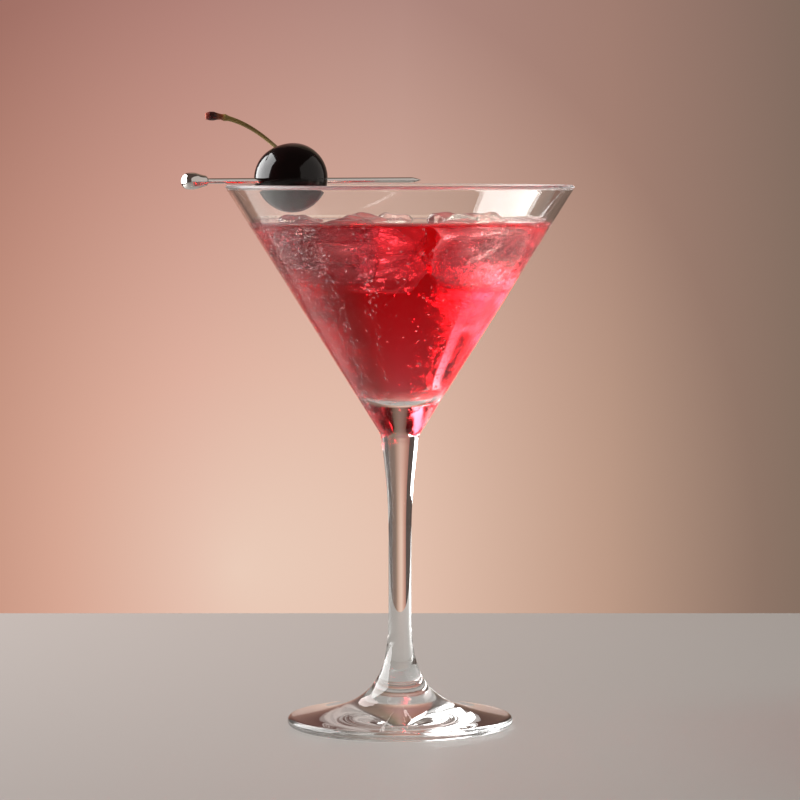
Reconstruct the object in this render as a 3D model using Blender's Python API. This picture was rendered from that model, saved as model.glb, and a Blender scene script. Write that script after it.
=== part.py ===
"""A red rum cocktail in a stemmed cocktail glass, with ice, a dark cherry and a steel pick.

Metres, +Z up. The origin is the middle of the foot's flat underside. The side that the
viewer faces looks towards -Y, and the pick's knob end lies at -X.
"""
from collections import namedtuple
from math import atan, cos, exp, pi, radians, sin

import bmesh
import bpy
from mathutils import Euler, Matrix, Vector
from mathutils.geometry import interpolate_bezier

# Driving dimensions of the glass
GLASS_HEIGHT = 0.1717
RIM_RADIUS = 0.0550
FOOT_RADIUS = 0.0359
STEM_RADIUS = 0.00366
LIP_WALL = 0.0016
OUTER_SLOPE = 0.619
INNER_SLOPE = 0.645
BOWL_BOTTOM_RADIUS = 0.0180
BOWL_DEPTH_OUTSIDE = 0.0776
JOINT_DEPTH = 0.0812
JOINT_RADIUS = 0.0058
STEM_TOP_DEPTH = 0.1120
STEM_FOOT_HEIGHT = 0.0350
FOOT_EDGE_THICKNESS = 0.0030
FOOT_DOME_RADIUS = 0.0150
FOOT_DOME_HEIGHT = 0.0076
GLASS_SEGMENTS = 72

# How far the two handles of each curve of the glass stand from its ends, as (r, z)
FILLET_PULLS = ((-0.0010, -0.0016), (0.0003, 0.0015))
TAPER_PULLS = ((-0.0011, -0.0100), (0.0, 0.0140))
FLARE_PULLS = ((0.0, -0.0170), (-0.0072, 0.0040))
FOOT_PULLS = ((0.0050, -0.0025), (-0.0080, 0.0007))

# Driving dimensions of what fills the glass
DRINK_DEPTH_BELOW_RIM = 0.0121
DRINK_SEGMENTS = 64
TOUCHING_GAP = 0.0003
ICE_GAP = 0.0004
ICE_ROUNDING = 0.0034
ICE_ROUNDING_STEPS = 3

# Driving dimensions of the garnish
PICK_RADIUS = 0.0009
PICK_NEAR_REST = Vector((-0.0542, 0.0, 0.0))
PICK_FAR_REST = Vector((0.0045, 0.0540, 0.0))
PICK_KNOB_OVERHANG = 0.0180
PICK_SHAFT_OVERHANG = 0.0096
PICK_POINT_REACH = 0.0830
PICK_POINT_LENGTH = 0.0045
PICK_POINT_SHOULDER = 0.62
PICK_KNOB_RADIUS = 0.00275
PICK_KNOB_NECK_RADIUS = 0.0018
PICK_KNOB_NOSE = 0.0032
PICK_NOSE_PULLS = ((0.0021, 0.0), (0.0, -0.0026))
PICK_BARREL_PULLS = ((0.0, 0.0026), (0.0006, -0.0025))
PICK_SEGMENTS = 20
PICK_HOLE_SEGMENTS = 16
CHERRY_RADIUS = 0.01185
CHERRY_SQUASH = 0.965
CHERRY_ALONG_PICK = 0.0261
CHERRY_ABOVE_RIM = 0.0019
CHERRY_DIMPLE_DEPTH = 0.0028
CHERRY_DIMPLE_WIDTH = radians(25)
CHERRY_AXIS = Vector((-0.28, 0.48, 0.83)).normalized()
CHERRY_SEGMENTS = 32
CHERRY_RINGS = 18
STALK_THIN_RADIUS = 0.00062
STALK_THICK_RADIUS = 0.00105
STALK_KNOB_RADIUS = 0.00155
STALK_END = Vector((-0.0274, 0.0030, 0.0199))
STALK_ROOT_PULL = Vector((-0.0055, 0.0003, 0.0053))
STALK_END_PULL = Vector((0.0105, 0.0020, 0.0008))
STALK_POINTS = 26

# Levels and lines worked out from the dimensions above
LIP_RADIUS = LIP_WALL / 2
DRINK_LEVEL = GLASS_HEIGHT - DRINK_DEPTH_BELOW_RIM
INNER_CONE_ANGLE = atan(INNER_SLOPE)
INNER_APEX = GLASS_HEIGHT - (RIM_RADIUS - LIP_WALL) / INNER_SLOPE
PICK_LEVEL = GLASS_HEIGHT + TOUCHING_GAP + PICK_RADIUS
PICK_DIRECTION = (PICK_FAR_REST - PICK_NEAR_REST).normalized()

# Each block of ice: the middle of its top, its rise above the drink, its top's width and
# depth, its height, how far its foot is shifted inwards, the foot's share of the top, its
# turn about Z and how it leans about its own X and Y
IceBlock = namedtuple("IceBlock", "name middle rise top height shift share turn lean")
ICE_BLOCKS = (
    IceBlock("ice_front_left", (-0.0205, -0.0125), 0.0012, (0.0255, 0.0235), 0.0165,
             (0.0050, 0.0035), 0.70, radians(18), (radians(3), radians(-2))),
    IceBlock("ice_under_cherry", (-0.0325, 0.0130), 0.0021, (0.0145, 0.0140), 0.0125,
             (0.0068, -0.0022), 0.72, radians(-20), (0.0, 0.0)),
    IceBlock("ice_middle", (-0.0068, 0.0130), 0.0016, (0.0240, 0.0205), 0.0155,
             (0.0030, -0.0050), 0.70, radians(-14), (radians(4), radians(5))),
    IceBlock("ice_back", (-0.0020, 0.0335), 0.0022, (0.0140, 0.0110), 0.0110,
             (0.0, -0.0062), 0.70, radians(10), (radians(-3), 0.0)),
    IceBlock("ice_back_right", (0.0228, 0.0165), 0.0020, (0.0245, 0.0220), 0.0160,
             (-0.0054, -0.0055), 0.64, radians(28), (radians(2), radians(4))),
    IceBlock("ice_front_right", (0.0240, -0.0130), 0.0008, (0.0235, 0.0240), 0.0170,
             (-0.0066, 0.0038), 0.64, radians(-17), (radians(-3), radians(3))),
)


def clear_scene():
    """Remove every object that is in the scene."""
    for old in list(bpy.data.objects):
        bpy.data.objects.remove(old, do_unlink=True)


def make_material(name, colour, roughness, metallic=0.0, transmission=0.0):
    """Return a Principled material with the part's colour, roughness and metallic value."""
    material = bpy.data.materials.new(name)
    material.use_nodes = True
    shader = material.node_tree.nodes["Principled BSDF"]
    shader.inputs["Base Color"].default_value = (*colour, 1.0)
    shader.inputs["Roughness"].default_value = roughness
    shader.inputs["Metallic"].default_value = metallic
    shader.inputs["Transmission Weight"].default_value = transmission
    material.diffuse_color = (*colour, 1.0)
    return material


def add_object(name, shape, material, smooth_angle=radians(35)):
    """Turn a bmesh into a named object with its material and smooth round sides."""
    bmesh.ops.recalc_face_normals(shape, faces=shape.faces)
    mesh = bpy.data.meshes.new(name)
    shape.to_mesh(mesh)
    shape.free()
    mesh.materials.append(material)
    mesh.shade_smooth()
    mesh.set_sharp_from_angle(angle=smooth_angle)
    made = bpy.data.objects.new(name, mesh)
    bpy.context.scene.collection.objects.link(made)
    return made


def arc(centre, radius, start, end, steps):
    """Return steps + 1 points (r, z) along an arc; angles are measured from +r."""
    points = []
    for step in range(steps + 1):
        angle = start + (end - start) * step / steps
        points.append((centre[0] + radius * cos(angle), centre[1] + radius * sin(angle)))
    return points


def blend(start, end, pulls, steps):
    """Return the points after start of a smooth curve to end, with handles at the pulls."""
    start_handle = (start[0] + pulls[0][0], start[1] + pulls[0][1])
    end_handle = (end[0] + pulls[1][0], end[1] + pulls[1][1])
    curve = interpolate_bezier(start, start_handle, end_handle, end, steps + 1)
    return [(point[0], point[1]) for point in curve[1:]]


def turn(outline, segments):
    """Spin an outline of (r, z) points, which starts and ends on the axis, about Z."""
    shape = bmesh.new()
    corners = [shape.verts.new((r, 0.0, z)) for r, z in outline]
    edges = [shape.edges.new(pair) for pair in zip(corners, corners[1:])]
    bmesh.ops.spin(
        shape,
        geom=corners + edges,
        axis=(0.0, 0.0, 1.0),
        cent=(0.0, 0.0, 0.0),
        angle=2 * pi,
        steps=segments,
    )
    bmesh.ops.remove_doubles(shape, verts=shape.verts, dist=0.00001)
    return shape


def inner_bowl(gap, steps):
    """Return the bowl's round bottom from the axis to where the straight side starts."""
    radius = BOWL_BOTTOM_RADIUS - gap
    centre = (0.0, INNER_APEX + BOWL_BOTTOM_RADIUS / sin(INNER_CONE_ANGLE))
    points = arc(centre, radius, -pi / 2, -INNER_CONE_ANGLE, steps)
    points[0] = (0.0, points[0][1])
    return points


def inner_radius(height):
    """Return the radius of the straight inner side at a height above the table."""
    return (height - INNER_APEX) * INNER_SLOPE


def glass_outline():
    """Return the glass from the bowl's inner bottom, over the lip, to the foot's underside."""
    inside = inner_bowl(0.0, 7)
    lip_centre = (RIM_RADIUS - LIP_RADIUS, GLASS_HEIGHT - LIP_RADIUS)
    lip = arc(lip_centre, LIP_RADIUS, pi - INNER_CONE_ANGLE, -INNER_CONE_ANGLE, 5)
    cone_end = (RIM_RADIUS - OUTER_SLOPE * BOWL_DEPTH_OUTSIDE, GLASS_HEIGHT - BOWL_DEPTH_OUTSIDE)
    joint = (JOINT_RADIUS, GLASS_HEIGHT - JOINT_DEPTH)
    stem_top = (STEM_RADIUS, GLASS_HEIGHT - STEM_TOP_DEPTH)
    stem_foot = (STEM_RADIUS, STEM_FOOT_HEIGHT)
    dome = (FOOT_DOME_RADIUS, FOOT_DOME_HEIGHT)
    edge_radius = FOOT_EDGE_THICKNESS / 2
    edge_centre = (FOOT_RADIUS - edge_radius, edge_radius)

    fillet = blend(cone_end, joint, FILLET_PULLS, 4)
    taper = blend(joint, stem_top, TAPER_PULLS, 5)
    flare = blend(stem_foot, dome, FLARE_PULLS, 9)
    foot_top = blend(dome, (edge_centre[0], FOOT_EDGE_THICKNESS), FOOT_PULLS, 4)
    edge = arc(edge_centre, edge_radius, pi / 2, -pi / 2, 6)[1:]
    bowl = inside + lip + [cone_end] + fillet
    stem = taper + [stem_foot] + flare
    return bowl + stem + foot_top + edge + [(0.0, 0.0)]


def build_glass(material):
    """Make the one-piece glass: bowl, stem and foot."""
    return add_object("glass", turn(glass_outline(), GLASS_SEGMENTS), material)


def ice_shape(block, own_shift, growth):
    """Return a block that narrows downwards and leans inwards, with melted round edges."""
    shape = bmesh.new()
    bmesh.ops.create_cube(shape, size=1.0)
    for corner in shape.verts:
        at_top = corner.co.z > 0
        share = 1.0 if at_top else block.share
        shift = Vector((0.0, 0.0)) if at_top else own_shift
        corner.co = (
            corner.co.x * (block.top[0] * share + 2 * growth) + shift.x,
            corner.co.y * (block.top[1] * share + 2 * growth) + shift.y,
            growth if at_top else -block.height - growth,
        )
    bmesh.ops.bevel(
        shape,
        geom=list(shape.edges),
        offset=ICE_ROUNDING,
        offset_type="OFFSET",
        segments=ICE_ROUNDING_STEPS,
        profile=0.5,
        affect="EDGES",
    )
    bmesh.ops.triangulate(shape, faces=shape.faces)
    return shape


def place_ice(shape, block):
    """Move a block of ice to its place in the drink."""
    spot = Matrix.Translation((*block.middle, DRINK_LEVEL + block.rise))
    turned = Euler((*block.lean, block.turn), "XYZ").to_matrix().to_4x4()
    bmesh.ops.transform(shape, matrix=spot @ turned, verts=shape.verts)


def build_ice(material, growth=0.0, suffix=""):
    """Make the blocks of ice, or with growth the larger blocks that cut the drink."""
    made = []
    for block in ICE_BLOCKS:
        own_shift = Matrix.Rotation(-block.turn, 2) @ Vector(block.shift)
        shape = ice_shape(block, own_shift, growth)
        place_ice(shape, block)
        made.append(add_object(block.name + suffix, shape, material))
    return made


def build_drink(material, ice_material):
    """Make the drink: it fills the bowl up to its level and is cut round the ice."""
    bottom = inner_bowl(TOUCHING_GAP, 7)
    side = (inner_radius(DRINK_LEVEL) - TOUCHING_GAP / cos(INNER_CONE_ANGLE), DRINK_LEVEL)
    outline = bottom + [side, (0.0, DRINK_LEVEL)]
    drink = add_object("drink", turn(outline, DRINK_SEGMENTS), material)
    for cutter in build_ice(ice_material, ICE_GAP, "_cutter"):
        cutter.hide_render = True
        cutter.display_type = "WIRE"
        cut = drink.modifiers.new("room for " + cutter.name, "BOOLEAN")
        cut.operation = "DIFFERENCE"
        cut.solver = "EXACT"
        cut.object = cutter
    return drink


def on_pick(distance, height):
    """Return the point at a distance along the pick from where it rests on the near rim."""
    spot = PICK_NEAR_REST + PICK_DIRECTION * distance
    return Vector((spot.x, spot.y, height))


def lay_along_pick(shape, height):
    """Turn a shape made along +Z to lie along the pick, with its base at the near rest."""
    to_pick = PICK_DIRECTION.to_track_quat("Z", "Y").to_matrix().to_4x4()
    place = Matrix.Translation(on_pick(0.0, height)) @ to_pick
    bmesh.ops.transform(shape, matrix=place, verts=shape.verts)


def build_pick(material):
    """Make the steel pick: a long barrel knob, a straight shaft and a point."""
    knob_end = -PICK_KNOB_OVERHANG
    neck = -PICK_SHAFT_OVERHANG
    widest = (PICK_KNOB_RADIUS, knob_end + PICK_KNOB_NOSE)
    point_start = PICK_POINT_REACH - PICK_POINT_LENGTH
    outline = [(0.0, knob_end)]
    outline += blend(outline[0], widest, PICK_NOSE_PULLS, 6)
    outline += blend(widest, (PICK_KNOB_NECK_RADIUS, neck), PICK_BARREL_PULLS, 4)
    outline += [(PICK_RADIUS, neck + TOUCHING_GAP)]
    outline += [(PICK_RADIUS, point_start)]
    outline += [(PICK_RADIUS * PICK_POINT_SHOULDER, point_start + PICK_POINT_LENGTH / 2)]
    outline += [(0.0, PICK_POINT_REACH)]
    shape = turn(outline, PICK_SEGMENTS)
    lay_along_pick(shape, PICK_LEVEL)
    return add_object("cocktail_pick", shape, material)


def cherry_surface(angle):
    """Return (r, z) of the cherry's side at an angle from its stalk axis."""
    dimple = CHERRY_DIMPLE_DEPTH * exp(-((angle / CHERRY_DIMPLE_WIDTH) ** 2))
    return (
        CHERRY_RADIUS * sin(angle),
        CHERRY_RADIUS * CHERRY_SQUASH * cos(angle) - dimple,
    )


def cherry_place():
    """Return the matrix from the cherry's own frame, stalk axis +Z, to the world."""
    centre = on_pick(CHERRY_ALONG_PICK, GLASS_HEIGHT + CHERRY_ABOVE_RIM)
    return Matrix.Translation(centre) @ CHERRY_AXIS.to_track_quat("Z", "Y").to_matrix().to_4x4()


def build_cherry(material):
    """Make the cherry, with the hole that the pick goes through."""
    outline = [cherry_surface(pi * ring / CHERRY_RINGS) for ring in range(CHERRY_RINGS + 1)]
    outline[0] = (0.0, outline[0][1])
    outline[-1] = (0.0, outline[-1][1])
    shape = turn(outline, CHERRY_SEGMENTS)
    bmesh.ops.transform(shape, matrix=cherry_place(), verts=shape.verts)
    cherry = add_object("cherry", shape, material)

    hole_radius = PICK_RADIUS + TOUCHING_GAP
    hole_start = CHERRY_ALONG_PICK - 2 * CHERRY_RADIUS
    hole_end = CHERRY_ALONG_PICK + 2 * CHERRY_RADIUS
    hole = [(0.0, hole_start), (hole_radius, hole_start), (hole_radius, hole_end), (0.0, hole_end)]
    hole_shape = turn(hole, PICK_HOLE_SEGMENTS)
    lay_along_pick(hole_shape, PICK_LEVEL)
    cutter = add_object("cherry_hole_cutter", hole_shape, material)
    cutter.hide_render = True
    cutter.display_type = "WIRE"
    cut = cherry.modifiers.new("hole for the pick", "BOOLEAN")
    cut.operation = "DIFFERENCE"
    cut.solver = "EXACT"
    cut.object = cutter
    return cherry


def build_cherry_stalk(material):
    """Make the cherry's stalk: thin at the fruit, thicker outwards, with a knobbly end."""
    place = cherry_place()
    centre = place.translation
    root = place @ Vector((0.0, 0.0, cherry_surface(0.0)[1] + 3 * TOUCHING_GAP))
    end = centre + STALK_END
    route = interpolate_bezier(
        root, root + STALK_ROOT_PULL, end + STALK_END_PULL, end, STALK_POINTS
    )
    curve = bpy.data.curves.new("cherry_stalk", "CURVE")
    curve.dimensions = "3D"
    curve.bevel_depth = STALK_THIN_RADIUS
    curve.bevel_resolution = 3
    curve.use_fill_caps = True
    spline = curve.splines.new("POLY")
    spline.points.add(STALK_POINTS - 1)
    for number, (point, spot) in enumerate(zip(spline.points, route)):
        share = number / (STALK_POINTS - 1)
        point.co = (*spot, 1.0)
        point.radius = stalk_radius(share) / STALK_THIN_RADIUS
    curve.materials.append(material)
    stalk = bpy.data.objects.new("cherry_stalk", curve)
    bpy.context.scene.collection.objects.link(stalk)
    return stalk


def stalk_radius(share):
    """Return the stalk's radius at a share of its length, from the fruit to the knobbly end."""
    shaft = STALK_THIN_RADIUS + (STALK_THICK_RADIUS - STALK_THIN_RADIUS) * share ** 2.4
    ring = 0.35 * (STALK_KNOB_RADIUS - STALK_THIN_RADIUS) * exp(-(((share - 0.80) / 0.025) ** 2))
    knob = (STALK_KNOB_RADIUS - STALK_THICK_RADIUS) * exp(-(((share - 0.93) / 0.05) ** 4))
    return shaft + ring + knob


def main():
    """Build every piece of the drink."""
    clear_scene()
    glass = make_material("clear_glass", (0.95, 0.96, 0.95), 0.02, transmission=1.0)
    drink = make_material("red_drink", (0.55, 0.02, 0.04), 0.05, transmission=0.6)
    ice = make_material("ice", (0.92, 0.90, 0.90), 0.10, transmission=0.8)
    cherry = make_material("dark_cherry", (0.020, 0.003, 0.004), 0.08)
    stalk = make_material("cherry_stalk", (0.36, 0.25, 0.09), 0.55)
    steel = make_material("polished_steel", (0.72, 0.71, 0.70), 0.12, metallic=1.0)
    build_glass(glass)
    build_drink(drink, ice)
    build_ice(ice)
    build_cherry(cherry)
    build_cherry_stalk(stalk)
    build_pick(steel)


main()
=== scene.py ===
"""Looks of the red rum cocktail: glass, drink, ice, cherry, pick, mist and studio."""
import random
from math import atan, cos, exp, hypot, pi, radians, sin

import bpy
import numpy as np
from mathutils import Matrix, Vector
from mathutils.geometry import interpolate_bezier


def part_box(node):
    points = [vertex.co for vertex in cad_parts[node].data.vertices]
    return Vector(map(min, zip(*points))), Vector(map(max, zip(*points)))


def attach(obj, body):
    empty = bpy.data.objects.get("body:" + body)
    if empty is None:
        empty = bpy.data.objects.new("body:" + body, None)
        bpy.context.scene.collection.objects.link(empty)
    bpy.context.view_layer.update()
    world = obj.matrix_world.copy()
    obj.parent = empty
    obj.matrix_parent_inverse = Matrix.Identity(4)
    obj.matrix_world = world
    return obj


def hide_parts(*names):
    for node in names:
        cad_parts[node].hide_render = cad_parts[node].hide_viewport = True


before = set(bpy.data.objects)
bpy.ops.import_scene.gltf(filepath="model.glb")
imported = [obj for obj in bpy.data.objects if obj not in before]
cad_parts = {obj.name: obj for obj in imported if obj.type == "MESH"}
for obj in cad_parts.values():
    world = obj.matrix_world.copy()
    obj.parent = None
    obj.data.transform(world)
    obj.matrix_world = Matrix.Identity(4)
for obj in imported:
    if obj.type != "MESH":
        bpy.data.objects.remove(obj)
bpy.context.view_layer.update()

# Sizes of the glass, in metres, as in the frame
MM = 0.001
glass_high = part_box("glass")[1]
drink_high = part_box("drink")[1]
GLASS_HEIGHT = glass_high.z
RIM_RADIUS = glass_high.x
DRINK_LEVEL = drink_high.z
LIP_WALL = 1.6 * MM
OUTER_SLOPE = 0.619
INNER_SLOPE = 0.645
FOOT_RADIUS = 35.9 * MM
STEM_RADIUS = 3.66 * MM
BOWL_BOTTOM_RADIUS = 18.0 * MM
BOWL_DEPTH_OUTSIDE = 77.6 * MM
JOINT_DEPTH = 81.2 * MM
JOINT_RADIUS = 5.8 * MM
STEM_TOP_DEPTH = 112.0 * MM
STEM_FOOT_HEIGHT = 35.0 * MM
FOOT_EDGE_THICKNESS = 3.0 * MM
FOOT_DOME_RADIUS = 15.0 * MM
FOOT_DOME_HEIGHT = 7.6 * MM
UNDERSIDE_STEP = 0.3 * MM
BOWL_MIDDLE = 0.3 * MM
FILLET_PULLS = ((-1.0 * MM, -1.6 * MM), (0.3 * MM, 1.5 * MM))
TAPER_PULLS = ((-1.1 * MM, -10.0 * MM), (0.0, 14.0 * MM))
FLARE_PULLS = ((0.0, -17.0 * MM), (-7.2 * MM, 4.0 * MM))
FOOT_PULLS = ((5.0 * MM, -2.5 * MM), (-8.0 * MM, 0.7 * MM))
INNER_CONE_ANGLE = atan(INNER_SLOPE)
OUTER_CONE_ANGLE = atan(OUTER_SLOPE)
INNER_APEX = GLASS_HEIGHT - (RIM_RADIUS - LIP_WALL) / INNER_SLOPE
LATHE_STEPS = 224
MERGE_DISTANCE = 0.004 * MM
SHARP_ABOVE = radians(40)

# The drink reaches a little into the glass, and the ice a little into the drink
WALL_OVERLAP = 0.08 * MM
ICE_OVERLAP = 0.05 * MM
MENISCUS_HEIGHT = 1.1 * MM
MENISCUS_WIDTH = 2.0 * MM
MENISCUS_REACH = 2.2
MENISCUS_FALL = 0.42
MENISCUS_STEPS = 14
MENISCUS_GAP = 0.02 * MM

# Melted ice: the size of its faces, its waves (size, strength), and the flaws in each block
ICE_FACE_SIZE = 0.7 * MM
MELT_SHARE = 0.5
MELT_ROUNDS = 60
SLOW_WAVES = (9 * MM, 4.2 * MM)
FINE_WAVES = (3 * MM, 0.5 * MM)
BUBBLES_IN_BLOCK = 18
BUBBLE_RADII_IN_MM = (0.18, 0.5)
BUBBLE_REACH = 0.62
CRACKS_IN_BLOCK = 2
CRACK_REACH = 0.30
CRACK_TURN = 0.5
CRACK_WIDTH_SHARE = 0.42
CRACK_DEPTH_SHARE = 0.38
CRACK_THICKNESS = 0.12 * MM
CRACK_CRUMPLE = (2.6 * MM, 1.6 * MM)

# Condensed water outside the filled bowl: none low down, full beside the floating ice
COLD_STARTS = DRINK_LEVEL - 32 * MM
COLD_FULL = DRINK_LEVEL - 16 * MM
BOWL_FOOT = GLASS_HEIGHT - JOINT_DEPTH
FOG_STARTS = BOWL_FOOT + 6 * MM
DROPS_START = BOWL_FOOT + 9 * MM
DROPS_END = DRINK_LEVEL - 0.5 * MM
DROP_SINK = 0.12
DROPS_SMALL_BIAS = 2.5
DEW_PER_SQUARE_METRE = 1.5e6
DEW_SIZES = (0.20 * MM, 0.42 * MM)
DROPS_PER_SQUARE_METRE = 1.7e4
DROP_SIZES = (0.28 * MM, 0.80 * MM)

# The pick and the cherry, as in the frame
PICK_RADIUS = 0.9 * MM
PICK_NEAR_REST = Vector((-54.2, 0.0, 0.0)) * MM
PICK_FAR_REST = Vector((4.5, 54.0, 0.0)) * MM
PICK_LEVEL = GLASS_HEIGHT + 0.3 * MM + PICK_RADIUS
PICK_DIRECTION = (PICK_FAR_REST - PICK_NEAR_REST).normalized()
PICK_KNOB_OVERHANG = 18.0 * MM
PICK_SHAFT_OVERHANG = 9.6 * MM
PICK_POINT_REACH = 83.0 * MM
PICK_POINT_LENGTH = 4.5 * MM
PICK_KNOB_RADIUS = 2.75 * MM
PICK_KNOB_NECK_RADIUS = 1.8 * MM
PICK_KNOB_NOSE = 3.2 * MM
CHERRY_RADIUS = 11.85 * MM
CHERRY_SQUASH = 0.965
CHERRY_ALONG_PICK = 26.1 * MM
CHERRY_ABOVE_RIM = 1.9 * MM
CHERRY_DIMPLE_DEPTH = 2.8 * MM
CHERRY_DIMPLE_WIDTH = radians(25)
CHERRY_AXIS = Vector((-0.28, 0.48, 0.83)).normalized()
STALK_KNOB_X = -62.6 * MM
STALK_ROOT_X = -38.0 * MM

# The camera, from the photo: its place, its tilt and its lens for a 36 mm sensor
CAMERA_PLACE = Vector((0.0, -1106.5, 179.8)) * MM
CAMERA_TILT_DOWN = radians(3.94)
CAMERA_LENS_MM = 157.5
TABLE_BACK_EDGE = 274.0 * MM
TABLE_DROP = 0.15 * MM
TABLE_SIZE = (2.4, 1.6, 0.03)
BACKDROP_PLACE = 905.0 * MM
BACKDROP_ENDS = (-360.0 * MM, 540.0 * MM)
BACKDROP_HEIGHTS = (-450.0 * MM, 1500.0 * MM)
# Where the painted glow on the backdrop is brightest, as seen from the camera
PAINTED_GLOW_PLACE = (-0.047, 0.0, -0.118)
DRINK_LAMP_PLACE = (-0.82, 0.05, 1.05)
DRINK_LAMP_TARGET = (0.0, 0.05, 0.35)

# Clear glass as the eye meets it
GLASS_TINT = "#fdfefd"
GLASS_IOR = 1.5

ICE_NAMES = sorted(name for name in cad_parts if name.startswith("ice_"))


# Small helpers

def linear(hex_colour):
    """Turn an sRGB colour such as "#c08060" into linear red, green, blue and alpha."""
    channels = [int(hex_colour[i:i + 2], 16) / 255 for i in (1, 3, 5)]
    return tuple(c / 12.92 if c <= 0.04045 else ((c + 0.055) / 1.055) ** 2.4 for c in channels) + (1.0,)


def add(tree, kind, sockets=None, stops=None, **settings):
    """Add a node: its settings, its sockets' values or links, and a ramp's (place, colour)."""
    node = tree.nodes.new(kind)
    for name, value in settings.items():
        setattr(node, name, value)
    for name, value in (sockets or {}).items():
        if isinstance(value, bpy.types.NodeSocket):
            tree.links.new(value, node.inputs[name])
        else:
            node.inputs[name].default_value = value
    if stops:
        elements = node.color_ramp.elements
        while len(elements) < len(stops):
            elements.new(0.5)
        for element, (place, colour) in zip(elements, stops):
            element.position = place
            element.color = linear(colour)
    return node


def new_material(name):
    """Return an empty material's tree and the material."""
    material = bpy.data.materials.new(name)
    material.use_nodes = True
    material.node_tree.nodes.clear()
    return material.node_tree, material


def only(piece):
    """Select one piece alone and make it active."""
    bpy.ops.object.select_all(action="DESELECT")
    piece.select_set(True)
    bpy.context.view_layer.objects.active = piece


def apply_place(piece):
    """Move a piece's place, turn and size into its mesh."""
    only(piece)
    bpy.ops.object.transform_apply(location=True, rotation=True, scale=True)


def apply_modifiers(piece):
    """Apply every modifier of a piece."""
    only(piece)
    for name in [modifier.name for modifier in piece.modifiers]:
        bpy.ops.object.modifier_apply(modifier=name)


def dress(piece, material, slot=None, *replaced):
    """Give a piece its material, let it ride on the body, and hide the frame's parts that it replaces.
    """
    piece.data.materials.clear()
    piece.data.materials.append(material)
    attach(piece, "root")
    if replaced:
        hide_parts(*replaced)


def arc(centre, radius, start, end, steps):
    """Return steps + 1 points (r, z) along an arc; angles are measured from +r."""
    angles = [start + (end - start) * step / steps for step in range(steps + 1)]
    return [(centre[0] + radius * cos(a), centre[1] + radius * sin(a)) for a in angles]


def blend(start, end, pulls, steps):
    """Return the points after start of a smooth curve to end, with handles at the pulls."""
    start_handle = (start[0] + pulls[0][0], start[1] + pulls[0][1])
    end_handle = (end[0] + pulls[1][0], end[1] + pulls[1][1])
    curve = interpolate_bezier(start, start_handle, end_handle, end, steps + 1)
    return [(point[0], point[1]) for point in curve[1:]]


def run(start, end, places):
    """Return points on the straight line from start to end, at shares of its length."""
    return [
        (start[0] + (end[0] - start[0]) * t, start[1] + (end[1] - start[1]) * t) for t in places
    ]


def lathe(name, outline, steps):
    """Draw an outline of (r, z) point by point, spin it about Z and close it."""
    bpy.ops.object.select_all(action="DESELECT")
    start = outline[0]
    bpy.ops.mesh.primitive_plane_add(size=MM, location=(start[0], 0.0, start[1]))
    piece = bpy.context.object
    piece.name = name
    apply_place(piece)
    bpy.ops.object.mode_set(mode="EDIT")
    bpy.ops.mesh.select_all(action="SELECT")
    bpy.ops.mesh.merge(type="CENTER")
    for here, there in zip(outline, outline[1:]):
        step = (there[0] - here[0], 0.0, there[1] - here[1])
        bpy.ops.mesh.extrude_region_move(TRANSFORM_OT_translate={"value": step})
    bpy.ops.mesh.select_all(action="SELECT")
    bpy.ops.mesh.spin(steps=steps, angle=2 * pi, center=(0, 0, 0), axis=(0, 0, 1))
    bpy.ops.mesh.select_all(action="SELECT")
    bpy.ops.mesh.remove_doubles(threshold=MERGE_DISTANCE)
    bpy.ops.mesh.normals_make_consistent(inside=False)
    bpy.ops.object.mode_set(mode="OBJECT")
    bpy.ops.object.shade_smooth_by_angle(angle=SHARP_ABOVE)
    return piece


# Materials

def let_lamps_through(tree, surface):
    """Return the surface, clear to shadow rays, so that lamps light what stands behind."""
    rays = add(tree, "ShaderNodeLightPath")
    clear = add(tree, "ShaderNodeBsdfTransparent")
    mixed = add(tree, "ShaderNodeMixShader", {0: rays.outputs["Is Shadow Ray"]})
    tree.links.new(surface, mixed.inputs[1])
    tree.links.new(clear.outputs[0], mixed.inputs[2])
    return mixed.outputs[0]


def blown_glass(name, roughness=0.0, mirrors="#ffffff"):
    """Blown soda lime glass: water clear, as blurred and as much of a mirror as it is told."""
    tree, material = new_material(name)
    shader = add(tree, "ShaderNodeBsdfPrincipled", {
        "Base Color": linear(GLASS_TINT),
        "Roughness": roughness,
        "IOR": GLASS_IOR,
        "Specular Tint": linear(mirrors),
        "Transmission Weight": 1.0,
    })
    surface = let_lamps_through(tree, shader.outputs[0])
    add(tree, "ShaderNodeOutputMaterial", {"Surface": surface})
    return material


def mist_at_sides(tree, place, patch, weight):
    """Add patches to how far a point lies to the side: the front of the bowl stays clear."""
    level = add(tree, "ShaderNodeVectorMath", {0: place, 1: (1.0, 1.0, 0.0)}, operation="MULTIPLY")
    outwards = add(tree, "ShaderNodeVectorMath", {0: level.outputs[0]}, operation="NORMALIZE")
    parts = add(tree, "ShaderNodeSeparateXYZ", {0: outwards.outputs[0]})
    sideways = add(tree, "ShaderNodeMath", {0: parts.outputs["X"]}, operation="ABSOLUTE")
    thick = add(tree, "ShaderNodeMath", {
        0: sideways.outputs[0], 1: weight, 2: patch,
    }, operation="MULTIPLY_ADD")
    return thick.outputs[0]


def cold_of_wall(tree, place, least, most):
    """Grow from least to most as the wall rises towards the floating ice."""
    parts = add(tree, "ShaderNodeSeparateXYZ", {0: place})
    cold = add(tree, "ShaderNodeMapRange", {
        "Value": parts.outputs["Z"],
        "From Min": COLD_STARTS,
        "From Max": COLD_FULL,
        "To Min": least,
        "To Max": most,
    })
    return cold.outputs[0]


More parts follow.
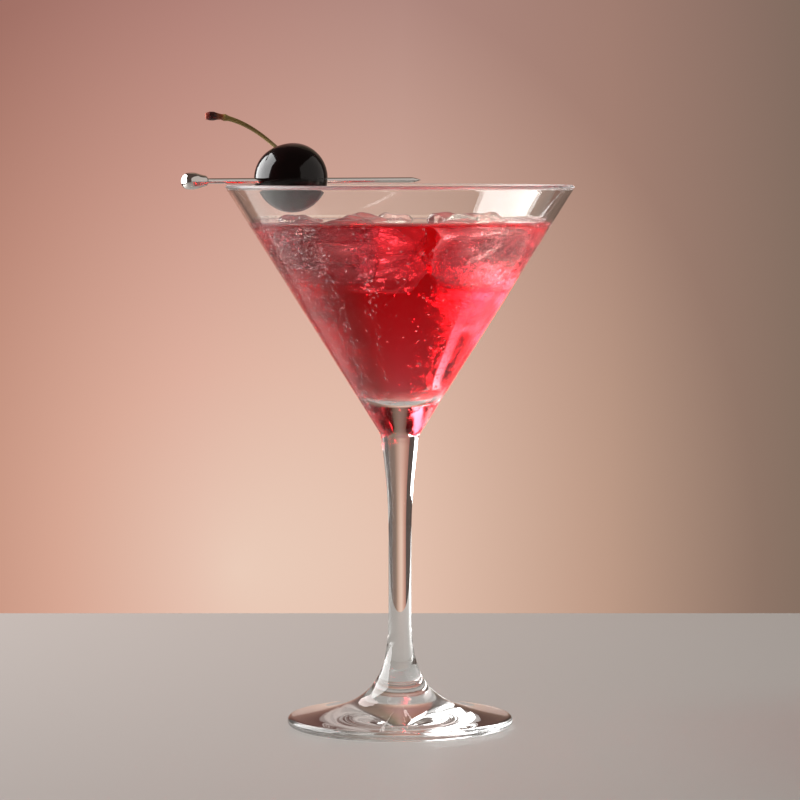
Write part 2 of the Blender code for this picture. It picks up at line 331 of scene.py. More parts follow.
def misted_glass():
    """The same glass fogged by cold: fine dew blurs it, most at the two sides, in patches."""
    # The beads are drawn coarser than the finest real dew, so that they show
    tree, material = new_material("soda_lime_glass_fogged_by_cold")
    place = add(tree, "ShaderNodeTexCoord")
    patch = add(tree, "ShaderNodeTexNoise", {
        "Vector": place.outputs["Object"],
        "Scale": 1 / (11 * MM),
        "Detail": 3.0,
    })
    thick = mist_at_sides(tree, place.outputs["Object"], patch.outputs[0], weight=0.55)
    cold = cold_of_wall(tree, place.outputs["Object"], least=0.1, most=1.0)
    fog = add(tree, "ShaderNodeMapRange", {
        "Value": thick,
        "From Min": 0.50,
        "From Max": 0.95,
        "To Max": 0.17,
    })
    beaded = add(tree, "ShaderNodeMapRange", {
        "Value": thick,
        "From Min": 0.62,
        "From Max": 0.88,
    })
    cell = add(tree, "ShaderNodeTexVoronoi", {
        "Vector": place.outputs["Object"],
        "Scale": 1 / (0.85 * MM),
    })
    bead = add(tree, "ShaderNodeMapRange", {
        "Value": cell.outputs["Distance"],
        "From Min": 0.10,
        "From Max": 0.50,
        "To Min": 1.0,
        "To Max": 0.0,
    }, interpolation_type="SMOOTHSTEP")
    share = add(tree, "ShaderNodeMath", {0: cold, 1: -0.5, 2: 1.0}, operation="MULTIPLY_ADD")
    blur = add(tree, "ShaderNodeMath", {
        0: fog.outputs[0], 1: share.outputs[0],
    }, operation="MULTIPLY")
    masked = add(tree, "ShaderNodeMath", {0: beaded.outputs[0], 1: cold}, operation="MULTIPLY")
    height = add(tree, "ShaderNodeMath", {
        0: bead.outputs[0], 1: masked.outputs[0],
    }, operation="MULTIPLY")
    bump = add(tree, "ShaderNodeBump", {
        "Strength": 1.0,
        "Distance": 0.12 * MM,
        "Height": height.outputs[0],
    })
    shader = add(tree, "ShaderNodeBsdfPrincipled", {
        "Base Color": linear(GLASS_TINT),
        "Roughness": blur.outputs[0],
        "IOR": GLASS_IOR,
        "Specular Tint": linear("#2c2c2c"),
        "Transmission Weight": 1.0,
        "Normal": bump.outputs[0],
    })
    surface = let_lamps_through(tree, shader.outputs[0])
    add(tree, "ShaderNodeOutputMaterial", {"Surface": surface})
    return material


def dew_water():
    """Condensed water: small clear domes that gather the light behind them."""
    tree, material = new_material("condensed_water")
    shader = add(tree, "ShaderNodeBsdfPrincipled", {
        "Base Color": linear("#ffffff"),
        "Roughness": 0.09,
        "IOR": 1.33,
        "Transmission Weight": 1.0,
    })
    surface = let_lamps_through(tree, shader.outputs[0])
    add(tree, "ShaderNodeOutputMaterial", {"Surface": surface})
    return material


def red_drink():
    """Clear red cocktail: the colour is in its depth, pale at thin edges and deep inside."""
    tree, material = new_material("clear_red_cocktail")
    place = add(tree, "ShaderNodeTexCoord")
    parts = add(tree, "ShaderNodeSeparateXYZ", {0: place.outputs["Object"]})
    open_top = add(tree, "ShaderNodeMath", {
        0: parts.outputs["Z"], 1: DRINK_LEVEL - 0.05 * MM,
    }, operation="GREATER_THAN")
    shader = add(tree, "ShaderNodeBsdfPrincipled", {
        "Base Color": linear("#ffffff"),
        "Roughness": 0.0,
        "IOR": 1.34,
        "Specular Tint": open_top.outputs[0],
        "Transmission Weight": 1.0,
    })
    depth = add(tree, "ShaderNodeVolumeAbsorption", {
        "Color": (0.94, 0.06, 0.19, 1.0),
        "Density": 72.0,
    })
    surface = let_lamps_through(tree, shader.outputs[0])
    add(tree, "ShaderNodeOutputMaterial", {"Surface": surface, "Volume": depth.outputs[0]})
    return material


def clear_ice(name, clearness):
    """Wet ice, melted smooth: faint waves in its surface, and a little milk from fine air."""
    tree, material = new_material(name)
    place = add(tree, "ShaderNodeTexCoord")
    wave = add(tree, "ShaderNodeTexNoise", {
        "Vector": place.outputs["Object"],
        "Scale": 1 / (6 * MM),
        "Detail": 3.0,
    })
    bump = add(tree, "ShaderNodeBump", {
        "Strength": 0.35,
        "Distance": 0.6 * MM,
        "Height": wave.outputs[0],
    })
    shader = add(tree, "ShaderNodeBsdfPrincipled", {
        "Base Color": linear("#f4f2f2"),
        "Roughness": 0.05,
        "IOR": 1.322,
        "Transmission Weight": clearness,
        "Normal": bump.outputs[0],
    })
    surface = let_lamps_through(tree, shader.outputs[0])
    add(tree, "ShaderNodeOutputMaterial", {"Surface": surface})
    return material


def cherry_skin():
    """Brined dark cherry: nearly black, a red cast where thin, under a film of syrup."""
    tree, material = new_material("brined_cherry_skin")
    place = add(tree, "ShaderNodeTexCoord")
    blotch = add(tree, "ShaderNodeTexNoise", {
        "Vector": place.outputs["Object"],
        "Scale": 1 / (7 * MM),
        "Detail": 4.0,
    })
    colour = add(tree, "ShaderNodeValToRGB", {"Fac": blotch.outputs[0]}, stops=[
        (0.35, "#080102"), (0.75, "#140304"),
    ])
    crease = add(tree, "ShaderNodeTexNoise", {
        "Vector": place.outputs["Object"],
        "Scale": 1 / (3.2 * MM),
        "Detail": 2.0,
    })
    bump = add(tree, "ShaderNodeBump", {
        "Strength": 0.35,
        "Distance": 0.25 * MM,
        "Height": crease.outputs[0],
    })
    shader = add(tree, "ShaderNodeBsdfPrincipled", {
        "Base Color": colour.outputs[0],
        "Roughness": 0.16,
        "IOR": 1.40,
        "Specular IOR Level": 0.10,
        "Coat Weight": 0.6,
        "Coat Roughness": 0.03,
        "Normal": bump.outputs[0],
        "Coat Normal": bump.outputs[0],
    })
    add(tree, "ShaderNodeOutputMaterial", {"Surface": shader.outputs[0]})
    return material


def dry_stalk():
    """Cherry stalk: straw green at the fruit, an orange ring and a dark knob at its end."""
    tree, material = new_material("dry_cherry_stalk")
    place = add(tree, "ShaderNodeTexCoord")
    fibre = add(tree, "ShaderNodeTexNoise", {
        "Vector": place.outputs["Object"],
        "Scale": 1 / (0.9 * MM),
        "Detail": 3.0,
    })
    parts = add(tree, "ShaderNodeSeparateXYZ", {0: place.outputs["Object"]})
    along = add(tree, "ShaderNodeMapRange", {
        "Value": parts.outputs["X"],
        "From Min": STALK_KNOB_X,
        "From Max": STALK_ROOT_X,
    })
    spread = add(tree, "ShaderNodeMath", {
        0: fibre.outputs[0], 1: 0.06, 2: along.outputs[0],
    }, operation="MULTIPLY_ADD")
    colour = add(tree, "ShaderNodeValToRGB", {"Fac": spread.outputs[0]}, stops=[
        (0.03, "#b8543a"), (0.075, "#7c2018"), (0.10, "#3a0f0b"), (0.17, "#4a170f"),
        (0.20, "#8c4a26"), (0.255, "#93431f"), (0.29, "#a8904e"), (0.60, "#8f7440"),
        (0.80, "#a3894f"), (1.0, "#c0a874"),
    ])
    shader = add(tree, "ShaderNodeBsdfPrincipled", {
        "Base Color": colour.outputs[0],
        "Roughness": 0.45,
    })
    add(tree, "ShaderNodeOutputMaterial", {"Surface": shader.outputs[0]})
    return material


def polished_steel():
    """Polished stainless steel: bright, a little blurred by fine polishing marks."""
    tree, material = new_material("polished_stainless_steel")
    shader = add(tree, "ShaderNodeBsdfPrincipled", {
        "Base Color": linear("#e2dfdc"),
        "Metallic": 1.0,
        "Roughness": 0.06,
    })
    add(tree, "ShaderNodeOutputMaterial", {"Surface": shader.outputs[0]})
    return material


# Glass and drink

def bowl_bottom(gap, steps):
    """Return the bowl's round bottom from the axis to where the straight side starts."""
    centre = (0.0, INNER_APEX + BOWL_BOTTOM_RADIUS / sin(INNER_CONE_ANGLE))
    points = arc(centre, BOWL_BOTTOM_RADIUS - gap, -pi / 2, -INNER_CONE_ANGLE, steps)
    points[0] = (0.0, points[0][1])
    return points


def lip_points(steps):
    """Return the rounded lip, from where the inner side meets it to where the outer does."""
    radius = LIP_WALL / 2
    centre = (RIM_RADIUS - radius, GLASS_HEIGHT - radius)
    return arc(centre, radius, pi - INNER_CONE_ANGLE, -OUTER_CONE_ANGLE, steps)


def inner_radius(height):
    """Return the radius of the bowl's straight inner side at a height."""
    low = bowl_bottom(0.0, 1)[-1]
    high = lip_points(1)[0]
    return low[0] + (high[0] - low[0]) * (height - low[1]) / (high[1] - low[1])


def glass_outline():
    """Return the glass from the bowl's inner bottom, over the lip, to the foot's underside."""
    inside = bowl_bottom(0.0, 24)
    lip = lip_points(14)
    cone_end = (RIM_RADIUS - OUTER_SLOPE * BOWL_DEPTH_OUTSIDE, GLASS_HEIGHT - BOWL_DEPTH_OUTSIDE)
    joint = (JOINT_RADIUS, GLASS_HEIGHT - JOINT_DEPTH)
    stem_top = (STEM_RADIUS, GLASS_HEIGHT - STEM_TOP_DEPTH)
    stem_foot = (STEM_RADIUS, STEM_FOOT_HEIGHT)
    dome = (FOOT_DOME_RADIUS, FOOT_DOME_HEIGHT)
    edge_radius = FOOT_EDGE_THICKNESS / 2
    edge_centre = (FOOT_RADIUS - edge_radius, edge_radius)

    level = (DRINK_LEVEL + MENISCUS_HEIGHT - inside[-1][1]) / (lip[0][1] - inside[-1][1])
    outer_level = (lip[-1][1] - DRINK_LEVEL) / (lip[-1][1] - cone_end[1])
    inner_side = run(inside[-1], lip[0], (0.01, 0.25, 0.5, 0.7, level, 0.99))
    outer_side = run(lip[-1], cone_end, (0.01, outer_level, 0.4, 0.6, 0.8, 0.99, 1.0))
    fillet = blend(cone_end, joint, FILLET_PULLS, 12)
    taper = blend(joint, stem_top, TAPER_PULLS, 24)
    shaft = run(stem_top, stem_foot, (0.33, 0.66, 1.0))
    flare = blend(stem_foot, dome, FLARE_PULLS, 40)
    foot_top = blend(dome, (edge_centre[0], FOOT_EDGE_THICKNESS), FOOT_PULLS, 20)
    edge = arc(edge_centre, edge_radius, pi / 2, -pi / 2, 14)[1:]
    underside = [(edge_centre[0] - UNDERSIDE_STEP, 0.0), (0.0, 0.0)]
    bowl = inside + inner_side + lip + outer_side + fillet
    return bowl + taper + shaft + flare + foot_top + edge + underside


def add_finish(piece, material, chooses):
    """Give a second material to the faces of a piece whose middle the test chooses."""
    piece.data.materials.append(material)
    slot = len(piece.data.materials) - 1
    for face in piece.data.polygons:
        if chooses(face.center, face.normal):
            face.material_index = slot


def is_inner_wall(place, normal):
    """Tell whether a face of the bowl, at a place, looks inwards or up."""
    outwards = normal.x * place.x + normal.y * place.y
    return place.z > INNER_APEX and (outwards < 0.0 or hypot(place.x, place.y) < BOWL_MIDDLE)


def make_glass():
    """Make the glass in one piece, wetted inside and misted outside as high as the drink."""
    # Fire polished: sharp reflections
    polished = blown_glass("soda_lime_glass_fire_polished")
    # Where the drink wets it, glass bends light but mirrors none
    wetted = blown_glass("soda_lime_glass_wetted_inside", mirrors="#000000")
    # A thin film of syrup on the lip spreads the light
    filmed = blown_glass("soda_lime_glass_with_a_film", roughness=0.35)
    glass = lathe("cocktail_glass", glass_outline(), LATHE_STEPS)
    dress(glass, polished, "clear_glass", "glass")
    add_finish(glass, wetted, lambda place, normal: (
        is_inner_wall(place, normal) and place.z < DRINK_LEVEL + MENISCUS_HEIGHT
    ))
    add_finish(glass, misted_glass(), lambda place, normal: (
        not is_inner_wall(place, normal) and FOG_STARTS < place.z < DRINK_LEVEL
    ))
    add_finish(glass, filmed, lambda place, normal: place.z > GLASS_HEIGHT - LIP_WALL / 2)
    return glass


def drink_outline():
    """Return the drink from its middle bottom to its level, with the rise at the wall."""
    bottom = bowl_bottom(-WALL_OVERLAP, 24)
    top = DRINK_LEVEL + MENISCUS_HEIGHT
    wall_gain = WALL_OVERLAP / cos(INNER_CONE_ANGLE)
    side_end = (inner_radius(top) + wall_gain, top)
    side = run(bottom[-1], side_end, (0.01, 0.25, 0.5, 0.75, 0.99, 1.0))
    touch = inner_radius(top) - MENISCUS_GAP
    meniscus = []
    for step in range(1, MENISCUS_STEPS + 1):
        away = MENISCUS_WIDTH * MENISCUS_REACH * step / MENISCUS_STEPS
        rise = MENISCUS_HEIGHT * exp(-away / (MENISCUS_WIDTH * MENISCUS_FALL))
        meniscus.append((touch - away, DRINK_LEVEL + rise))
    level = run(meniscus[-1], (0.0, DRINK_LEVEL), (0.02, 0.2, 0.4, 0.6, 0.8, 1.0))
    return bottom + side + meniscus + level


def cut_away(piece, cutter):
    """Cut a cutter's shape out of a piece and remove the cutter."""
    cut = piece.modifiers.new("cut", "BOOLEAN")
    cut.operation = "DIFFERENCE"
    cut.solver = "MANIFOLD"
    cut.object = cutter
    apply_modifiers(piece)
    bpy.data.objects.remove(cutter, do_unlink=True)


def box_of(piece):
    """Return the lowest and highest corner of a piece's mesh."""
    spots = np.empty(len(piece.data.vertices) * 3)
    piece.data.vertices.foreach_get("co", spots)
    spots = spots.reshape(-1, 3)
    return Vector(spots.min(axis=0)), Vector(spots.max(axis=0))


def free_copy(source, name):
    """Copy a piece with a mesh of its own, free of its body and of notes on it."""
    piece = source.copy()
    piece.data = piece.data.copy()
    piece.parent = None
    for key in list(piece.keys()):
        del piece[key]
    bpy.context.scene.collection.objects.link(piece)
    piece.name = name
    return piece


def copy_node(node, name):
    """Copy a node of the frame as a free piece with its doubled points merged."""
    block = free_copy(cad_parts[node], name)
    only(block)
    bpy.ops.object.mode_set(mode="EDIT")
    bpy.ops.mesh.select_all(action="SELECT")
    bpy.ops.mesh.remove_doubles(threshold=0.01 * MM)
    bpy.ops.object.mode_set(mode="OBJECT")
    return block


def fit_box(piece, low, high):
    """Stretch a piece to fill a box again, as by hand in edit mode."""
    now_low, now_high = box_of(piece)
    size = [(high[i] - low[i]) / (now_high[i] - now_low[i]) for i in range(3)]
    only(piece)
    bpy.ops.object.mode_set(mode="EDIT")
    bpy.ops.mesh.select_all(action="SELECT")
    bpy.ops.transform.resize(value=size, center_override=(now_low + now_high) / 2)
    bpy.ops.transform.translate(value=(low + high - now_low - now_high) / 2)
    bpy.ops.object.mode_set(mode="OBJECT")


def add_waves(piece, name, wave):
    """Push a piece's surface in and out by clouds of a (size, strength)."""
    size, strength = wave
    clouds = bpy.data.textures.new(name, "CLOUDS")
    clouds.noise_scale = size
    clouds.noise_depth = 1
    waves = piece.modifiers.new(name, "DISPLACE")
    waves.texture = clouds
    waves.texture_coords = "GLOBAL"
    waves.strength = strength
    waves.mid_level = 0.5


def cut_flaws(block, draw):
    """Cut bubbles and thin crumpled cracks into the heart of a block of ice."""
    low, high = box_of(block)
    middle = (low + high) / 2
    half = (high - low) / 2
    bpy.ops.object.select_all(action="DESELECT")
    flaws = []
    for count in range(BUBBLES_IN_BLOCK):
        radius = draw.uniform(*BUBBLE_RADII_IN_MM) * MM
        shift = [half[i] * draw.uniform(-BUBBLE_REACH, BUBBLE_REACH) for i in range(3)]
        place = middle + Vector(shift)
        bpy.ops.mesh.primitive_ico_sphere_add(subdivisions=2, radius=radius, location=place)
        flaws.append(bpy.context.object)
    for count in range(CRACKS_IN_BLOCK):
        turn = [draw.uniform(-CRACK_TURN, CRACK_TURN) for _ in range(3)]
        shift = [half[i] * draw.uniform(-CRACK_REACH, CRACK_REACH) for i in range(3)]
        place = middle + Vector(shift)
        bpy.ops.mesh.primitive_ico_sphere_add(
            subdivisions=4, radius=1.0, location=place, rotation=turn
        )
        crack = bpy.context.object
        crack.scale = (half.x * CRACK_WIDTH_SHARE, half.y * CRACK_DEPTH_SHARE, CRACK_THICKNESS)
        apply_place(crack)
        add_waves(crack, "crumple", CRACK_CRUMPLE)
        apply_modifiers(crack)
        flaws.append(crack)
    for flaw in flaws:
        cut_away(block, flaw)


def make_ice(node, material):
    """Melt a block of the frame's ice: round it and give it slow and fine waves."""
    block = copy_node(node, node.replace("ice_", "ice_block_"))
    low, high = box_of(block)
    remesh = block.modifiers.new("even faces", "REMESH")
    remesh.mode = "VOXEL"
    remesh.voxel_size = ICE_FACE_SIZE
    smooth = block.modifiers.new("melted", "SMOOTH")
    smooth.factor = MELT_SHARE
    smooth.iterations = MELT_ROUNDS
    add_waves(block, "slow waves", SLOW_WAVES)
    add_waves(block, "fine waves", FINE_WAVES)
    apply_modifiers(block)
    fit_box(block, low, high)
    only(block)
    bpy.ops.object.shade_smooth()
    dress(block, material, "ice", node)
    return block


def make_drink(ice_blocks):
    """Make the drink and cut room in it for each block of ice."""
    drink = lathe("red_cocktail", drink_outline(), LATHE_STEPS // 2)
    for block in ice_blocks:
        cutter = free_copy(block, "room_for_ice")
        only(cutter)
        bpy.ops.object.mode_set(mode="EDIT")
        bpy.ops.mesh.select_all(action="SELECT")
        bpy.ops.transform.shrink_fatten(value=-ICE_OVERLAP)
        bpy.ops.object.mode_set(mode="OBJECT")
        cut_away(drink, cutter)
    only(drink)
    bpy.ops.object.shade_smooth_by_angle(angle=SHARP_ABOVE)
    dress(drink, red_drink(), "red_drink", "drink")
    return drink


# Condensed water

def make_dome(name, segments, rings, height):
    """Model one drop: a ball's upper half, flattened, with its foot just below zero."""
    bpy.ops.object.select_all(action="DESELECT")
    bpy.ops.mesh.primitive_uv_sphere_add(segments=segments, ring_count=rings, radius=1.0)
    drop = bpy.context.object
    drop.name = name
    bpy.ops.object.mode_set(mode="EDIT")
    bpy.ops.mesh.select_all(action="SELECT")
    bpy.ops.transform.resize(value=(1.0, 1.0, height))
    bpy.ops.mesh.bisect(
        plane_co=(0.0, 0.0, 0.0), plane_no=(0.0, 0.0, 1.0), use_fill=True, clear_inner=True
    )
    bpy.ops.mesh.select_all(action="SELECT")
    bpy.ops.transform.translate(value=(0.0, 0.0, -DROP_SINK))
    bpy.ops.object.mode_set(mode="OBJECT")
    bpy.ops.object.shade_smooth_by_angle(angle=radians(60))
    return drop


def scatter_tree(name, drop, per_area, sizes, seed, patch_size):
    """Return Geometry Nodes that set drops on a surface in patches, as real mesh."""
    tree = bpy.data.node_groups.new(name, "GeometryNodeTree")
    tree.interface.new_socket("Geometry", in_out="INPUT", socket_type="NodeSocketGeometry")
    tree.interface.new_socket("Geometry", in_out="OUTPUT", socket_type="NodeSocketGeometry")
    surface = add(tree, "NodeGroupInput")
    place = add(tree, "GeometryNodeInputPosition")
    patch = add(tree, "ShaderNodeTexNoise", {
        "Vector": place.outputs[0],
        "Scale": 1 / patch_size,
        "Detail": 2.0,
    })
    thick = mist_at_sides(tree, place.outputs[0], patch.outputs[0], weight=0.40)
    cold = cold_of_wall(tree, place.outputs[0], least=0.15 * per_area, most=per_area)
    share = add(tree, "ShaderNodeMapRange", {
        "Value": thick,
        "From Min": 0.70,
        "From Max": 0.90,
        "To Min": 0.03,
        "To Max": 1.0,
    })
    density = add(tree, "ShaderNodeMath", {0: share.outputs[0], 1: cold}, operation="MULTIPLY")
    spots = add(tree, "GeometryNodeDistributePointsOnFaces", {
        "Mesh": surface.outputs[0],
        "Density": density.outputs[0],
        "Seed": seed,
    })
    chance = add(tree, "FunctionNodeRandomValue", {"Seed": seed + 1})
    spread = add(tree, "ShaderNodeMath", {
        0: chance.outputs[1], 1: DROPS_SMALL_BIAS,
    }, operation="POWER")
    size = add(tree, "ShaderNodeMapRange", {
        "Value": spread.outputs[0],
        "To Min": sizes[0],
        "To Max": sizes[1],
    })
    model = add(tree, "GeometryNodeObjectInfo", {"Object": drop, "As Instance": True})
    placed = add(tree, "GeometryNodeInstanceOnPoints", {
        "Points": spots.outputs["Points"],
        "Instance": model.outputs["Geometry"],
        "Rotation": spots.outputs["Rotation"],
        "Scale": size.outputs[0],
    })
    real = add(tree, "GeometryNodeRealizeInstances", {0: placed.outputs[0]})
    add(tree, "NodeGroupOutput", {0: real.outputs[0]})
    return tree


def make_drops(name, drop, material, per_area, sizes, seed, patch_size):
    """Cover the outside of the filled bowl with drops of a size, in one piece."""
    heights = (DROPS_START, DROPS_END)
    ends = [(RIM_RADIUS - OUTER_SLOPE * (GLASS_HEIGHT - z), z) for z in heights]
    spread = lathe(name, ends, LATHE_STEPS)
    scatter = spread.modifiers.new("scatter", "NODES")
    scatter.node_group = scatter_tree(name, drop, per_area, sizes, seed, patch_size)
    apply_modifiers(spread)
    dress(spread, material)
    bpy.data.objects.remove(drop, do_unlink=True)
    return spread


# Garnish

def on_pick(distance, height):
    """Return the point at a distance along the pick from where it rests on the near rim."""
    spot = PICK_NEAR_REST + PICK_DIRECTION * distance
    return Vector((spot.x, spot.y, height))


def make_pick(material):
    """Turn the pick on the lathe and lay it across the rim."""
    knob_end = -PICK_KNOB_OVERHANG
    neck = -PICK_SHAFT_OVERHANG
    widest = (PICK_KNOB_RADIUS, knob_end + PICK_KNOB_NOSE)
    point_start = PICK_POINT_REACH - PICK_POINT_LENGTH
    nose_pulls = ((2.1 * MM, 0.0), (0.0, -2.6 * MM))
    barrel_pulls = ((0.0, 1.6 * MM), (0.36 * MM, -2.6 * MM))
    tip_pulls = ((0.0, 1.6 * MM), (0.12 * MM, -0.2 * MM))
    bevel = 0.15 * MM
    outline = [(0.0, knob_end)]
    outline += blend(outline[0], widest, nose_pulls, 16)
    outline += blend(widest, (PICK_KNOB_NECK_RADIUS, neck), barrel_pulls, 12)
    outline += [(PICK_KNOB_NECK_RADIUS - bevel, neck + bevel)]
    outline += [(PICK_RADIUS + 0.12 * MM, neck + 0.2 * MM), (PICK_RADIUS, neck + 0.4 * MM)]
    outline += run(outline[-1], (PICK_RADIUS, point_start), (0.02, 0.25, 0.5, 0.75, 0.98, 1.0))
    outline += blend(outline[-1], (0.0, PICK_POINT_REACH), tip_pulls, 10)
    pick = lathe("steel_cocktail_pick", outline, 48)
    pick.matrix_world = (
        Matrix.Translation(on_pick(0.0, PICK_LEVEL))
        @ PICK_DIRECTION.to_track_quat("Z", "Y").to_matrix().to_4x4()
    )
    apply_place(pick)
    dress(pick, material, "steel", "cocktail_pick")
    return pick


def cherry_surface(angle):
    """Return (r, z) of the cherry's side at an angle from its stalk axis."""
    dimple = CHERRY_DIMPLE_DEPTH * exp(-((angle / CHERRY_DIMPLE_WIDTH) ** 2))
    return (CHERRY_RADIUS * sin(angle), CHERRY_RADIUS * CHERRY_SQUASH * cos(angle) - dimple)


def cherry_place():
    """Return the matrix from the cherry's own frame, stalk axis +Z, to the world."""
    centre = on_pick(CHERRY_ALONG_PICK, GLASS_HEIGHT + CHERRY_ABOVE_RIM)
    return Matrix.Translation(centre) @ CHERRY_AXIS.to_track_quat("Z", "Y").to_matrix().to_4x4()


def make_cherry(material):
    """Turn the cherry's round form and set it on the pick."""
    rings = 72
    outline = [cherry_surface(pi * ring / rings) for ring in range(rings + 1)]
    outline[0] = (0.0, outline[0][1])
    outline[-1] = (0.0, outline[-1][1])
    cherry = lathe("dark_cherry", outline, 96)
    cherry.matrix_world = cherry_place()
    apply_place(cherry)
    dress(cherry, material, "cherry_skin", "cherry")
    return cherry


def dress_frame_nodes(stalk_material):
    """Give the frame's own stalk its finish."""
    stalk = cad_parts["cherry_stalk"]
    stalk.data.materials.clear()
    stalk.data.materials.append(stalk_material)


# Studio

def make_table():
    """Make the plain pale table top that the glass stands on."""
    bpy.ops.object.select_all(action="DESELECT")
    centre = (0.0, TABLE_BACK_EDGE - TABLE_SIZE[1] / 2, -TABLE_DROP - TABLE_SIZE[2] / 2)
    bpy.ops.mesh.primitive_cube_add(size=1.0, location=centre)
    table = bpy.context.object
    table.name = "table_top"
    table.scale = TABLE_SIZE
    apply_place(table)
    tree, material = new_material("pale_matt_table")
    shader = add(tree, "ShaderNodeBsdfPrincipled", {
        "Base Color": linear("#b1aeaa"),
        "Roughness": 0.45,
    })
    add(tree, "ShaderNodeOutputMaterial", {"Surface": shader.outputs[0]})
    table.data.materials.append(material)


def make_backdrop():
    """Hang the warm backdrop, which gives off painted light: a painted glow low on the left that fades
    outwards, greener at the right.
    """
    bpy.ops.object.select_all(action="DESELECT")
    width = BACKDROP_ENDS[1] - BACKDROP_ENDS[0]
    height = BACKDROP_HEIGHTS[1] - BACKDROP_HEIGHTS[0]
    centre = (sum(BACKDROP_ENDS) / 2, BACKDROP_PLACE, sum(BACKDROP_HEIGHTS) / 2)
    bpy.ops.mesh.primitive_plane_add(size=1.0, location=centre, rotation=(pi / 2, 0.0, 0.0))
    backdrop = bpy.context.object
    backdrop.name = "warm_backdrop"
    backdrop.scale = (width, height, 1.0)
    apply_place(backdrop)
    # The backdrop is no lamp: the colour it gives off is painted light
    tree, material = new_material("painted_backdrop_lit_from_below")
    place = add(tree, "ShaderNodeTexCoord")
    seen = add(tree, "ShaderNodeVectorMath", {
        0: place.outputs["Object"],
        1: (0.0, BACKDROP_PLACE, CAMERA_PLACE.z),
    }, operation="SUBTRACT")
    shrunk = add(tree, "ShaderNodeVectorMath", {
        0: seen.outputs[0],
        "Scale": 1 / (BACKDROP_PLACE - CAMERA_PLACE.y),
    }, operation="SCALE")
    away = add(tree, "ShaderNodeVectorMath", {
        0: shrunk.outputs[0],
        1: PAINTED_GLOW_PLACE,
    }, operation="SUBTRACT")
    # The painted glow is a little taller than it is wide
    flat = add(tree, "ShaderNodeVectorMath", {
        0: away.outputs[0],
        1: (1.0, 1.0, 0.85),
    }, operation="MULTIPLY")
    reach = add(tree, "ShaderNodeVectorMath", {0: flat.outputs[0]}, operation="LENGTH")
    part = add(tree, "ShaderNodeMapRange", {"Value": reach.outputs["Value"], "From Max": 0.6})
    painted_glow = add(tree, "ShaderNodeValToRGB", {"Fac": part.outputs[0]}, stops=[
        (0.0, "#f0dac6"), (0.084, "#e5c1ae"), (0.166, "#cea697"), (0.25, "#af877e"),
        (0.334, "#a8807a"), (0.60, "#96786c"), (1.0, "#8a766c"),
    ])
    parts = add(tree, "ShaderNodeSeparateXYZ", {0: shrunk.outputs[0]})
    across = add(tree, "ShaderNodeMapRange", {
        "Value": parts.outputs["X"],
        "From Min": -0.24,
        "From Max": 0.24,
    })
    # Painted light across the backdrop: brightest in the middle, pinker to the left, greener to the
    # right
    side = add(tree, "ShaderNodeValToRGB", {"Fac": across.outputs[0]}, stops=[
        (0.0, "#e8ceca"), (0.26, "#ecd7d0"), (0.375, "#f8e9e9"), (0.5, "#ffffff"),
        (0.625, "#eff3e9"), (0.74, "#c7d9cc"), (1.0, "#c4d0c8"),
    ])
    colour = add(tree, "ShaderNodeMix", {
        "Factor": 1.0, 6: painted_glow.outputs[0], 7: side.outputs[0],
    }, data_type="RGBA", blend_type="MULTIPLY")
    # Painted light: the backdrop glows a little brighter higher up
    high = add(tree, "ShaderNodeMapRange", {
        "Value": parts.outputs["Z"],
        "From Min": 0.06,
        "From Max": 0.22,
        "To Min": 1.0,
        "To Max": 1.35,
    })
    light = add(tree, "ShaderNodeEmission", {
        "Color": colour.outputs[2],
        "Strength": high.outputs[0],
    })
    clear = add(tree, "ShaderNodeBsdfTransparent")
    surface = add(tree, "ShaderNodeNewGeometry")
    mixed = add(tree, "ShaderNodeMixShader", {
        0: surface.outputs["Backfacing"], 1: light.outputs[0], 2: clear.outputs[0],
    })
    add(tree, "ShaderNodeOutputMaterial", {"Surface": mixed.outputs[0]})
    backdrop.data.materials.append(material)


def make_world():
    """Fill the rest of the room: warm grey to the eye, dim to mirrors, glass and table."""
    world = bpy.data.worlds.new("warm_studio")
    bpy.context.scene.world = world
    world.use_nodes = True
    tree = world.node_tree
    tree.nodes.clear()
    rays = add(tree, "ShaderNodeLightPath")
    strength = add(tree, "ShaderNodeMapRange", {
        "Value": rays.outputs["Is Camera Ray"],
        "To Min": 0.22,
        "To Max": 1.0,
    })
    light = add(tree, "ShaderNodeBackground", {
        "Color": linear("#a68f85"),
        "Strength": strength.outputs[0],
    })
    add(tree, "ShaderNodeOutputWorld", {"Surface": light.outputs[0]})


def make_lamp(name, place, target, size, watts, colour):
    """Add a soft box that looks at a target, hidden from the camera itself."""
    data = bpy.data.lights.new(name, "AREA")
    data.shape = "RECTANGLE"
    data.size, data.size_y = size
    data.energy = watts
    data.color = linear(colour)[:3]
    lamp = bpy.data.objects.new(name, data)
    bpy.context.scene.collection.objects.link(lamp)
    lamp.location = place
    lamp.rotation_euler = (Vector(target) - Vector(place)).to_track_quat("-Z", "Y").to_euler()
    lamp.visible_camera = False
    return lamp


def light_link(lamp, pieces, state):
    """Let a lamp shine on these pieces alone (INCLUDE), or on all but these (EXCLUDE)."""
    lit = bpy.data.collections.new(lamp.name + "_lights")
    for piece in pieces:
        lit.objects.link(piece)
    for entry in lit.collection_objects:
        entry.light_linking.link_state = state
    lamp.light_linking.receiver_collection = lit


def make_camera():
    """Stand the camera where the photo was taken."""
    data = bpy.data.cameras.new("photo_camera")
    data.sensor_width = 36.0
    data.lens = CAMERA_LENS_MM
    data.clip_start = 0.05
    data.clip_end = 50.0
    camera = bpy.data.objects.new("photo_camera", data)
    bpy.context.scene.collection.objects.link(camera)
    camera.location = CAMERA_PLACE
    camera.rotation_euler = (pi / 2 - CAMERA_TILT_DOWN, 0.0, 0.0)
    bpy.context.scene.camera = camera


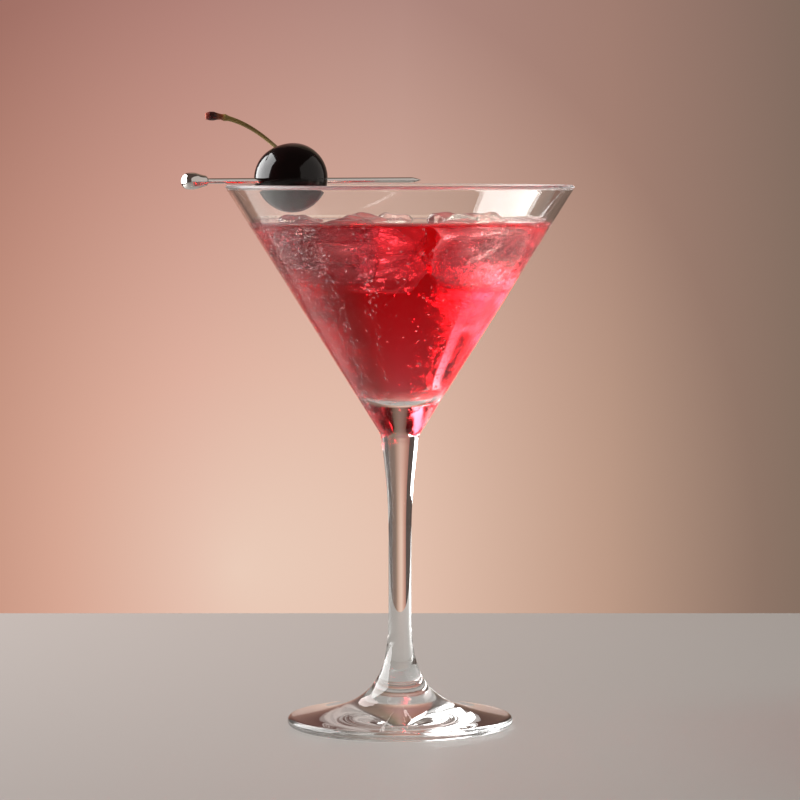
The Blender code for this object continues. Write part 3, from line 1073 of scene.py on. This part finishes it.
def set_light_paths():
    """Give light enough bounces for glass, drink and ice one behind the other."""
    cycles = bpy.context.scene.cycles
    cycles.max_bounces = 32
    cycles.transmission_bounces = 28
    cycles.glossy_bounces = 8
    cycles.transparent_max_bounces = 32
    cycles.caustics_reflective = False
    cycles.caustics_refractive = False
    cycles.use_denoising = True
    bpy.context.scene.view_settings.view_transform = "Standard"


# Build the studio, then the drink

make_camera()
set_light_paths()
make_world()
make_backdrop()
make_table()
left_softbox = make_lamp(
    "left_softbox",
    place=(-0.80, 0.30, 0.62), target=(0.0, 0.30, 0.62),
    size=(1.14, 1.10), watts=27.7, colour="#ffffff",
)
make_lamp(
    "right_fill",
    place=(0.90, -0.33, 0.60), target=(0.0, -0.33, 0.60),
    size=(2.15, 1.20), watts=4.2, colour="#fff8f2",
)
far_lamp = make_lamp(
    "far_lamp_for_the_drink",
    place=(-0.80, 1.65, 1.35), target=(0.0, 1.65, 1.35),
    size=(1.60, 1.10), watts=24.0, colour="#fff0ee",
)
near_lamp = make_lamp(
    "near_lamp_for_the_drink",
    place=DRINK_LAMP_PLACE, target=DRINK_LAMP_TARGET,
    size=(0.90, 1.60), watts=190.0, colour="#fff0e0",
)
ice_lamp = make_lamp(
    "lamp_for_the_ice",
    place=DRINK_LAMP_PLACE, target=DRINK_LAMP_TARGET,
    size=(0.60, 1.20), watts=80.0, colour="#fff0dc",
)

glass = make_glass()
ice_in_drink = clear_ice("melting_ice_with_fine_air", 0.82)
ice_in_air = clear_ice("wet_clear_ice", 1.0)
ice_blocks = [make_ice(name, ice_in_drink) for name in ICE_NAMES]
drink = make_drink(ice_blocks)
draw = random.Random(11)
for block in ice_blocks:
    cut_flaws(block, draw)
    add_finish(block, ice_in_air, lambda place, normal: place.z > DRINK_LEVEL)
light_link(far_lamp, [glass, drink] + ice_blocks, "INCLUDE")
light_link(near_lamp, [drink], "INCLUDE")
ice_well_lit = [block for block in ice_blocks if "front_left" not in block.name]
light_link(ice_lamp, ice_well_lit, "INCLUDE")
water = dew_water()
dew = make_drops(
    "condensed_dew", make_dome("dew_drop", segments=6, rings=4, height=0.85), water,
    DEW_PER_SQUARE_METRE, DEW_SIZES, seed=3, patch_size=8 * MM,
)
make_drops(
    "condensed_drops", make_dome("large_drop", segments=16, rings=12, height=0.45), water,
    DROPS_PER_SQUARE_METRE, DROP_SIZES, seed=8, patch_size=12 * MM,
)
light_link(left_softbox, [dew] + ice_blocks, "EXCLUDE")
make_pick(polished_steel())
make_cherry(cherry_skin())
dress_frame_nodes(dry_stalk())
